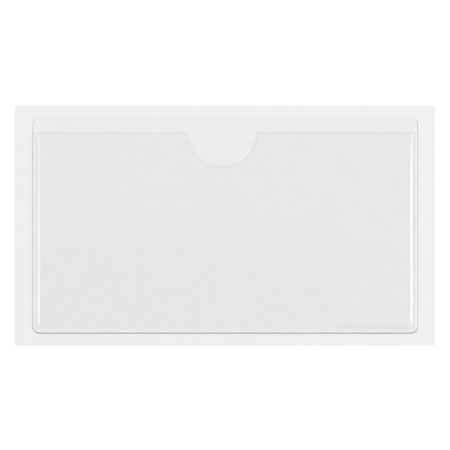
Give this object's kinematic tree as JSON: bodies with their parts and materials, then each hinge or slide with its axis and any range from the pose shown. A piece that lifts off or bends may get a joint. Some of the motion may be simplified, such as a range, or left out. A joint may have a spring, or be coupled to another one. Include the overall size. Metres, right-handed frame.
{
  "type": "adhesive label pocket",
  "caption": "Clear self-adhesive film pocket for a label card, on its release liner, with a thumb notch in the open edge and a welded seam round the other sides.",
  "frame": {"origin": "the middle of the liner's underside", "axes": "+X along the long side, +Y towards the pocket's open edge, +Z out of the pocket's front"},
  "size_m": [0.105, 0.06, 0.0009],
  "materials": {
    "liner_paper": "smooth, satin silicone-coated white paper",
    "clear_adhesive": "clear, soft and tacky",
    "clear_film": "clear, glossy and flexible, with a faint cool tint"
  },
  "bodies": {
    "root": {"release_liner": "liner_paper", "adhesive_layer": "clear_adhesive", "back_film": "clear_film", "front_film": "clear_film"}
  },
  "joints": []
}
